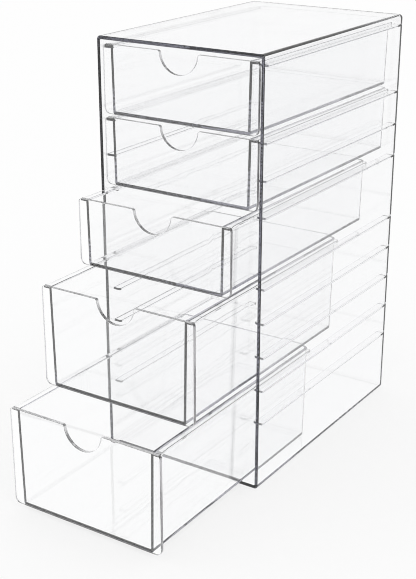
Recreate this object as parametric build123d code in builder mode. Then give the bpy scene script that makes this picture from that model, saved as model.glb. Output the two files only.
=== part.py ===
from build123d import *
import os
from math import asin, degrees, radians, tan

# Clear drawer unit for craft stamps: an open-fronted case and five drawers of two heights.
# Millimetres, +Z up, the open front faces -Y. The origin is the centre of the case's flat underside.
# Each drawer is a moulded tray with a thicker front plate bonded to its open end. A tray hangs by
# its two top rims on rails moulded along the inside of the case, and slides out along -Y.

# ---- case ----
case_width = 150.0
case_depth = 230.0
case_height = 350.0
case_wall = 2.8
case_corner_radius = 3.0  # the four long edges, outside
case_inner_radius = 0.8  # the same four edges, inside
case_back_radius = 2.5  # round the outside of the back
case_inner_back_radius = 0.5  # round the inside of the back
case_lip_radius = 0.5  # the rounded lip of the open front

# ---- rows: the height is divided into equal rows, and a drawer takes two or three of them ----
drawer_rows = [2, 2, 2, 3, 3]  # from the top drawer down
rail_rows = [0, 2, 3, 4, 6, 7, 8, 9, 10]  # the spare ones let the drawers change places
drawer_spacing = 3.0  # air between one drawer and the next below it
head_clearance = 3.2  # above the top drawer
floor_clearance = 1.6  # below the bottom drawer

# ---- rails along both inner sides ----
rail_reach = 6.8  # how far a rail stands in from the wall
rail_thickness = 1.8
rail_setback = 7.0  # from the open front to the rail's nose
rail_nose_radius = 2.2  # free corner of the nose, seen from above
rail_edge_radius = 0.4

# ---- how far each drawer is pulled out, from the top drawer down ----
third_pull = 36.0
fourth_pull = 84.0
fifth_pull = 127.0
drawer_pull = [0.0, 0.0, third_pull, fourth_pull, fifth_pull]

# ---- trays ----
tray_wall = 2.2
tray_floor = 2.3
tray_draft = 1.0  # degrees that the walls lean in towards the floor
tray_back_clearance = 1.5  # behind a closed drawer
tray_rail_clearance = 1.9  # between a tray's side and the rails beside it
tray_corner_radius = 4.2  # upright corners at the back, outside
tray_inner_corner_radius = 2.0
tray_edge_radius = 1.6  # round the outside of the floor
tray_inner_edge_radius = 0.7
rim_bearing = 2.2  # how far a rim lies over its rail
rim_thickness = 2.0
rim_rail_clearance = 0.3  # between a rim and the rail that carries it
rim_edge_radius = 0.4
rim_corner_radius = 2.0  # at the back end of each rim
rim_flare = 1.3  # extra reach of the rim where it meets the front plate
rim_flare_length = 12.0

# ---- front plates ----
front_thickness = 3.0
front_inset = 0.5  # behind the case's lip when closed
front_side_clearance = 2.2  # to each side of the opening
front_top_radius = 2.5
front_bottom_radius = 5.0
front_edge_radius = 0.3
bond_line = 0.1  # cement between a tray's open end and its front plate
notch_radius = 17.0  # half-round finger notch in the top edge
notch_shoulder_radius = 2.0

# ---- sizes that follow from the ones above ----
row_stack = case_height - 2 * case_wall - head_clearance - floor_clearance + drawer_spacing
row_pitch = row_stack / sum(drawer_rows)
inner_half_width = case_width / 2 - case_wall
case_front_y = -case_depth / 2
case_inner_back_y = case_depth / 2 - case_wall
rail_front_y = case_front_y + rail_setback
rail_inner_x = inner_half_width - rail_reach
tray_half_width = rail_inner_x - tray_rail_clearance  # at the top, outside
rim_half_width = rail_inner_x + rim_bearing
front_half_width = inner_half_width - front_side_clearance
front_face_y = case_front_y + front_inset
tray_front_y = front_face_y + front_thickness + bond_line
tray_back_y = case_inner_back_y - tray_back_clearance
near = 0.01  # how close counts as the same place when edges are picked


def row_top(row):
    """Height of the top edge of a drawer that begins at this row, counted from the top."""
    return case_height - case_wall - head_clearance - row * row_pitch


def drawer_span(index):
    """Heights of a drawer's top and underside."""
    top = row_top(sum(drawer_rows[:index]))
    return top, top - drawer_rows[index] * row_pitch + drawer_spacing


def make_case():
    """The case: five flat walls in one moulding, open at the front, with rails inside."""
    front_plane = Plane.XZ.offset(-case_front_y)
    with BuildPart() as case:
        with BuildSketch(front_plane):
            with Locations((0, case_height / 2)):
                RectangleRounded(case_width, case_height, case_corner_radius)
        extrude(amount=-case_depth)
        back_outline = case.faces().sort_by(Axis.Y)[-1].edges()
        fillet(back_outline, case_back_radius)
        with BuildSketch(front_plane):
            with Locations((0, case_height / 2)):
                inner_width = 2 * inner_half_width
                inner_height = case_height - 2 * case_wall
                RectangleRounded(inner_width, inner_height, case_inner_radius)
        extrude(amount=case_wall - case_depth, mode=Mode.SUBTRACT)
        inner_back = case.faces().filter_by(Plane.XZ).sort_by(Axis.Y)[-2]
        fillet(inner_back.edges(), case_inner_back_radius)
        lip = case.faces().sort_by(Axis.Y)[0]
        fillet(lip.edges(), case_lip_radius)
        root_x = inner_half_width + case_wall / 2
        root_y = case_inner_back_y + case_wall / 2
        nose_y = rail_front_y + rail_nose_radius
        nose_x = rail_inner_x + rail_nose_radius
        for row in rail_rows:
            rail_top = row_top(row) - rim_thickness - rim_rail_clearance
            with BuildSketch(Plane.XY.offset(rail_top)):
                with BuildLine():
                    Polyline((nose_x, rail_front_y), (root_x, rail_front_y), (root_x, root_y))
                    Polyline((root_x, root_y), (rail_inner_x, root_y), (rail_inner_x, nose_y))
                    TangentArc((rail_inner_x, nose_y), (nose_x, rail_front_y), tangent=(0, -1))
                make_face()
                mirror(about=Plane.YZ)
            extrude(amount=-rail_thickness)
        long_edges = case.edges().filter_by(Axis.Y)
        free_edges = long_edges.filter_by(lambda e: abs(abs(e.center().X) - rail_inner_x) < near)
        fillet(free_edges, rail_edge_radius)
    case.part.label = "case"
    return case.part


def make_tray(index):
    """A tray, open at the top and the front: floor, two sides, back and two top rims."""
    top, underside = drawer_span(index)
    pull = drawer_pull[index]
    front_y = tray_front_y - pull
    back_y = tray_back_y - pull
    trim = tray_corner_radius + tray_edge_radius  # run past the open end, cut off below
    length = back_y - front_y + trim
    middle_y = (back_y + front_y - trim) / 2
    lean = (top - underside) * tan(radians(tray_draft))
    cavity_lean = (top - underside - tray_floor) * tan(radians(tray_draft))
    rim_end_y = front_y - trim / 2
    rim_back_y = back_y - tray_corner_radius
    flare_start = (rim_half_width, front_y + rim_flare_length)
    flare_radius = (rim_flare_length**2 + rim_flare**2) / (2 * rim_flare)
    flare_turn = degrees(asin((rim_flare_length + trim / 2) / flare_radius))
    with BuildPart() as tray:
        with BuildSketch(Plane.XY.offset(underside)):
            with Locations((0, middle_y)):
                outer_width = 2 * (tray_half_width - lean)
                RectangleRounded(outer_width, length - 2 * lean, tray_corner_radius)
        extrude(amount=top - underside, taper=-tray_draft)
        fillet(tray.faces().sort_by(Axis.Z)[0].edges(), tray_edge_radius)
        with BuildSketch(Plane.XY.offset(top)) as rims:
            with BuildLine():
                flare = JernArc(flare_start, (0, -1), flare_radius, flare_turn)
                Polyline(flare_start, (rim_half_width, rim_back_y), (0, rim_back_y), (0, rim_end_y))
                Line((0, rim_end_y), flare @ 1)
            make_face()
            mirror(about=Plane.YZ)
            fillet(rims.vertices().group_by(Axis.Y)[-1].group_by(Axis.X)[0], rim_corner_radius)
            fillet(rims.vertices().group_by(Axis.Y)[-1].group_by(Axis.X)[-1], rim_corner_radius)
        extrude(amount=-rim_thickness)
        rim_sides = tray.edges().filter_by(lambda e: abs(e.center().X) > rim_half_width - near)
        fillet(rim_sides.filter_by(Axis.Z, reverse=True), rim_edge_radius)
        with BuildSketch(Plane.XY.offset(underside + tray_floor)):
            with Locations((0, middle_y)):
                cavity_width = 2 * (tray_half_width - tray_wall - cavity_lean)
                cavity_length = length - 2 * tray_wall - 2 * cavity_lean
                RectangleRounded(cavity_width, cavity_length, tray_inner_corner_radius)
        extrude(amount=top - underside - tray_floor, taper=-tray_draft, mode=Mode.SUBTRACT)
        cavity_floor = tray.faces().filter_by(Plane.XY).group_by(Axis.Z)[1][0]
        fillet(cavity_floor.edges(), tray_inner_edge_radius)
        split(bisect_by=Plane(origin=(0, front_y, 0), z_dir=(0, 1, 0)), keep=Keep.TOP)
    tray.part.label = f"drawer_{index + 1}_tray"
    return tray.part


def make_front(index):
    """A front plate: flat, with rounded corners and a half-round finger notch in its top edge."""
    top, underside = drawer_span(index)
    face_y = front_face_y - drawer_pull[index]
    face_plane = Plane(origin=(0, face_y, underside), x_dir=(1, 0, 0), z_dir=(0, -1, 0))
    height = top - underside
    with BuildPart() as front:
        with BuildSketch(face_plane) as outline:
            with Locations((0, height / 2)):
                Rectangle(2 * front_half_width, height)
            fillet(outline.vertices().group_by(Axis.Y)[0], front_bottom_radius)
            fillet(outline.vertices().group_by(Axis.Y)[-1], front_top_radius)
            with Locations((0, height)):
                Circle(notch_radius, mode=Mode.SUBTRACT)
            shoulders = outline.vertices().filter_by(
                lambda v: v.Y > height - near and abs(v.X) < notch_radius + near
            )
            fillet(shoulders, notch_shoulder_radius)
        extrude(amount=-front_thickness)
        faces = front.faces().filter_by(Plane.XZ).sort_by(Axis.Y)
        fillet(faces[0].edges() + faces[-1].edges(), front_edge_radius)
    front.part.label = f"drawer_{index + 1}_front"
    return front.part


os.makedirs("parts", exist_ok=True)
export_step(make_case(), "parts/case.step")
for drawer in range(len(drawer_rows)):
    export_step(make_tray(drawer), f"parts/drawer_{drawer + 1}_tray.step")
    export_step(make_front(drawer), f"parts/drawer_{drawer + 1}_front.step")
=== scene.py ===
from math import cos, radians, sin

import bpy
from mathutils import Matrix, Vector

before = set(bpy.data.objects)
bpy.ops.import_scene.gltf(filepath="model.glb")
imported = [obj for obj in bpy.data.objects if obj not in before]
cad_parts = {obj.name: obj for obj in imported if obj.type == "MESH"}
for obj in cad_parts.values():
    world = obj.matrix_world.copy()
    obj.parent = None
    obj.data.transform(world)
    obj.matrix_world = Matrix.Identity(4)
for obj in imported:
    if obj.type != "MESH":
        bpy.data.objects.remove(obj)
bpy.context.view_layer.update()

# ---- camera, matched to the photograph (metres, degrees, image pixels) ----
image_height = 579.0
sensor_long_side = 36.0  # millimetres
focal_pixels = 1212.72
camera_place = (0.510376, -0.850575, 0.504232)
camera_azimuth = 33.294
camera_elevation = 21.197
camera_roll = 0.069
nearest_seen = 0.01
farthest_seen = 100.0

# ---- clear plastic ----
plastic_refraction = 1.57
absorption_colour = (0.60, 0.60, 0.645, 1.0)
deeper_tint = (0.996, 0.998, 0.999, 1.0)
lighter_tint = (0.999, 1.0, 1.0, 1.0)
mark_roughness = 0.02  # the most that handling marks add
flow_height = 0.001  # metres, at a relief of one
edge_begins = 0.7  # a face that looks along Y by less than this begins to be a cut edge
edge_full = 0.3
broad_face_weight = 100  # how far the broad faces settle the shading of the rounded edges

# The three plastics. Absorption dulls the light that runs the whole depth of a wall, and the front
# plates are of clearer sheet. Relief is how strongly the flow of the moulding shows. Edge satin is
# the roughness added on the cut edges of a plate.
plastics = {
    "case": {
        "absorption": 19.0,
        "flows_per_metre": 14.0,
        "marks_per_metre": 700.0,
        "relief": 0.12,
        "edge_satin": 0.0,
    },
    "tray": {
        "absorption": 16.0,
        "flows_per_metre": 22.0,
        "marks_per_metre": 900.0,
        "relief": 0.16,
        "edge_satin": 0.0,
    },
    "front": {
        "absorption": 3.0,
        "flows_per_metre": 18.0,
        "marks_per_metre": 1200.0,
        "relief": 0.08,
        "edge_satin": 0.30,
    },
}

# ---- studio ----
studio_white = (1.0, 1.0, 1.0, 1.0)
floor_gap = 0.0003  # below the case, so that the two faces don't meet
floor_half_width = 30.0
floor_colour = (0.95, 0.95, 0.95, 1.0)
floor_glow_share = 0.80  # how far the floor is plain white to the eye, and wholly so in the plastic
overhead_grey = 0.02  # what the plastic shows of the studio's ceiling
ceiling_start = 0.60  # sine of the elevation where the ceiling begins to darken
ceiling_full = 0.78


def add_node(tree, kind, **settings):
    """A shader node with its plain settings made at once."""
    node = tree.nodes.new(kind)
    for name, value in settings.items():
        setattr(node, name, value)
    return node


def moulded_surface_group():
    """Slow unevenness of moulded plastic and fine handling marks, as height, roughness and tint."""
    group = bpy.data.node_groups.new("moulded_surface", "ShaderNodeTree")
    face = group.interface
    for name in ("flows per metre", "marks per metre", "edge satin"):
        face.new_socket(name, in_out="INPUT", socket_type="NodeSocketFloat")
    for name, kind in (("height", "Float"), ("roughness", "Float"), ("tint", "Color")):
        face.new_socket(name, in_out="OUTPUT", socket_type=f"NodeSocket{kind}")
    source = add_node(group, "NodeGroupInput")
    result = add_node(group, "NodeGroupOutput")
    place = add_node(group, "ShaderNodeTexCoord")
    flow = add_node(group, "ShaderNodeTexNoise", noise_dimensions="3D")
    marks = add_node(group, "ShaderNodeTexNoise", noise_dimensions="3D")
    for noise, count in ((flow, "flows per metre"), (marks, "marks per metre")):
        group.links.new(place.outputs["Object"], noise.inputs["Vector"])
        group.links.new(source.outputs[count], noise.inputs["Scale"])
    flow.inputs["Detail"].default_value = 1.0
    marks.inputs["Detail"].default_value = 3.0
    group.links.new(flow.outputs["Fac"], result.inputs["height"])
    edges = add_node(group, "ShaderNodeMath", operation="MULTIPLY")
    group.links.new(cut_edge_mask(group, place.outputs["Normal"]), edges.inputs[0])
    group.links.new(source.outputs["edge satin"], edges.inputs[1])
    spread = add_node(group, "ShaderNodeMath", operation="MULTIPLY_ADD")
    group.links.new(marks.outputs["Fac"], spread.inputs[0])
    spread.inputs[1].default_value = mark_roughness
    group.links.new(edges.outputs[0], spread.inputs[2])
    group.links.new(spread.outputs[0], result.inputs["roughness"])
    tint = add_node(group, "ShaderNodeMix", data_type="RGBA")
    group.links.new(flow.outputs["Fac"], tint.inputs["Factor"])
    tint.inputs["A"].default_value = deeper_tint
    tint.inputs["B"].default_value = lighter_tint
    group.links.new(tint.outputs["Result"], result.inputs["tint"])
    return group


def cut_edge_mask(tree, normal):
    """One on faces that look sideways, up or down, and none on those that look along Y."""
    split = add_node(tree, "ShaderNodeSeparateXYZ")
    tree.links.new(normal, split.inputs["Vector"])
    facing = add_node(tree, "ShaderNodeMath", operation="ABSOLUTE")
    tree.links.new(split.outputs["Y"], facing.inputs[0])
    fade = add_node(tree, "ShaderNodeMapRange", interpolation_type="SMOOTHSTEP")
    tree.links.new(facing.outputs[0], fade.inputs["Value"])
    fade.inputs["From Min"].default_value = edge_full
    fade.inputs["From Max"].default_value = edge_begins
    fade.inputs["To Min"].default_value = 1.0
    fade.inputs["To Max"].default_value = 0.0
    return fade.outputs["Result"]


def clear_plastic(name, surface, absorption, flows_per_metre, marks_per_metre, relief, edge_satin):
    """Clear moulded plastic: it bends light, and darkens where a ray runs along inside a wall."""
    material = bpy.data.materials.new(name)
    material.use_nodes = True
    tree = material.node_tree
    tree.nodes.clear()
    shader = add_node(tree, "ShaderNodeBsdfPrincipled")
    shader.inputs["Transmission Weight"].default_value = 1.0
    shader.inputs["IOR"].default_value = plastic_refraction
    shader.inputs["Metallic"].default_value = 0.0
    finish = add_node(tree, "ShaderNodeGroup")
    finish.node_tree = surface
    finish.inputs["flows per metre"].default_value = flows_per_metre
    finish.inputs["marks per metre"].default_value = marks_per_metre
    finish.inputs["edge satin"].default_value = edge_satin
    tree.links.new(finish.outputs["tint"], shader.inputs["Base Color"])
    tree.links.new(finish.outputs["roughness"], shader.inputs["Roughness"])
    bump = add_node(tree, "ShaderNodeBump")
    bump.inputs["Strength"].default_value = relief
    bump.inputs["Distance"].default_value = flow_height
    tree.links.new(finish.outputs["height"], bump.inputs["Height"])
    tree.links.new(bump.outputs["Normal"], shader.inputs["Normal"])
    body = add_node(tree, "ShaderNodeVolumeAbsorption")
    body.inputs["Color"].default_value = absorption_colour
    body.inputs["Density"].default_value = absorption
    output = add_node(tree, "ShaderNodeOutputMaterial")
    tree.links.new(shader.outputs["BSDF"], output.inputs["Surface"])
    tree.links.new(body.outputs["Volume"], output.inputs["Volume"])
    return material


def dress_nodes():
    """Each piece in the plastic that the last word of its name gives, with evenly shaded faces."""
    surface = moulded_surface_group()
    materials = {}
    for kind, finish in plastics.items():
        materials[kind] = clear_plastic(f"clear_{kind}_plastic", surface, **finish)
    for name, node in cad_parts.items():
        node.data.materials.clear()
        node.data.materials.append(materials[name.split("_")[-1]])
        even = node.modifiers.new("even_faces", "WEIGHTED_NORMAL")
        even.keep_sharp = False
        even.weight = broad_face_weight


def make_floor():
    """A wide pale floor that keeps the object's shadow and reads as white behind it."""
    reach = floor_half_width
    corners = [(-reach, -reach), (reach, -reach), (reach, reach), (-reach, reach)]
    corners = [(x, y, -floor_gap) for x, y in corners]
    mesh = bpy.data.meshes.new("floor")
    mesh.from_pydata(corners, [], [(0, 1, 2, 3)])
    floor = bpy.data.objects.new("floor", mesh)
    bpy.context.scene.collection.objects.link(floor)
    material = bpy.data.materials.new("pale_floor")
    material.use_nodes = True
    tree = material.node_tree
    tree.nodes.clear()
    matt = add_node(tree, "ShaderNodeBsdfDiffuse")
    matt.inputs["Color"].default_value = floor_colour
    glow = add_node(tree, "ShaderNodeEmission")
    share = add_node(tree, "ShaderNodeMath", operation="MULTIPLY_ADD")
    tree.links.new(light_path_mask(tree, ("Is Camera Ray",)), share.inputs[0])
    share.inputs[1].default_value = floor_glow_share
    through = light_path_mask(tree, ("Is Glossy Ray", "Is Transmission Ray"))
    tree.links.new(through, share.inputs[2])
    blend = add_node(tree, "ShaderNodeMixShader")
    tree.links.new(share.outputs[0], blend.inputs["Fac"])
    tree.links.new(matt.outputs["BSDF"], blend.inputs[1])
    tree.links.new(glow.outputs["Emission"], blend.inputs[2])
    output = add_node(tree, "ShaderNodeOutputMaterial")
    tree.links.new(blend.outputs["Shader"], output.inputs["Surface"])
    mesh.materials.append(material)


def light_path_mask(tree, kinds):
    """One where the ray is any of these kinds."""
    path = add_node(tree, "ShaderNodeLightPath")
    total = path.outputs[kinds[0]]
    for kind in kinds[1:]:
        most = add_node(tree, "ShaderNodeMath", operation="MAXIMUM")
        tree.links.new(total, most.inputs[0])
        tree.links.new(path.outputs[kind], most.inputs[1])
        total = most.outputs[0]
    return total


def make_world():
    """An even white studio. The plastic alone also shows its dim ceiling, high overhead."""
    world = bpy.data.worlds.new("studio")
    bpy.context.scene.world = world
    world.use_nodes = True
    tree = world.node_tree
    tree.nodes.clear()
    place = add_node(tree, "ShaderNodeTexCoord")
    split = add_node(tree, "ShaderNodeSeparateXYZ")
    tree.links.new(place.outputs["Generated"], split.inputs["Vector"])
    ceiling = add_node(tree, "ShaderNodeMapRange", interpolation_type="SMOOTHSTEP")
    tree.links.new(split.outputs["Z"], ceiling.inputs["Value"])
    ceiling.inputs["From Min"].default_value = ceiling_start
    ceiling.inputs["From Max"].default_value = ceiling_full
    ceiling.inputs["To Min"].default_value = 1.0
    ceiling.inputs["To Max"].default_value = overhead_grey
    through = light_path_mask(tree, ("Is Glossy Ray", "Is Transmission Ray"))
    choose = add_node(tree, "ShaderNodeMix", data_type="FLOAT")
    tree.links.new(through, choose.inputs["Factor"])
    choose.inputs["A"].default_value = 1.0
    tree.links.new(ceiling.outputs["Result"], choose.inputs["B"])
    background = add_node(tree, "ShaderNodeBackground")
    background.inputs["Color"].default_value = studio_white
    tree.links.new(choose.outputs["Result"], background.inputs["Strength"])
    output = add_node(tree, "ShaderNodeOutputWorld")
    tree.links.new(background.outputs["Background"], output.inputs["Surface"])


def make_camera():
    """The camera at the photograph's place, angle and focal length."""
    data = bpy.data.cameras.new("camera")
    data.sensor_width = sensor_long_side
    data.lens = focal_pixels / image_height * sensor_long_side
    data.clip_start = nearest_seen
    data.clip_end = farthest_seen
    camera = bpy.data.objects.new("camera", data)
    bpy.context.scene.collection.objects.link(camera)
    azimuth, elevation = radians(camera_azimuth), radians(camera_elevation)
    back = Vector((sin(azimuth) * cos(elevation), -cos(azimuth) * cos(elevation), sin(elevation)))
    right = (-back).cross(Vector((0, 0, 1))).normalized()
    up = right.cross(-back)
    turn = Matrix((right, up, back)).transposed().to_4x4()
    roll = Matrix.Rotation(radians(camera_roll), 4, "Z")
    camera.matrix_world = Matrix.Translation(camera_place) @ turn @ roll
    bpy.context.scene.camera = camera


def set_light_depth():
    """A ray through all the drawers crosses many clear walls, so it may bend that often."""
    cycles = bpy.context.scene.cycles
    cycles.max_bounces = 96
    cycles.transmission_bounces = 48
    cycles.glossy_bounces = 28  # light that runs along inside a wall is turned back this often
    cycles.diffuse_bounces = 4
    cycles.transparent_max_bounces = 48
    cycles.filter_width = 1.0  # a narrow pixel filter keeps the thin bright and dark edges crisp


bpy.context.scene.view_settings.view_transform = "Standard"
make_camera()
dress_nodes()
make_floor()
make_world()
set_light_depth()
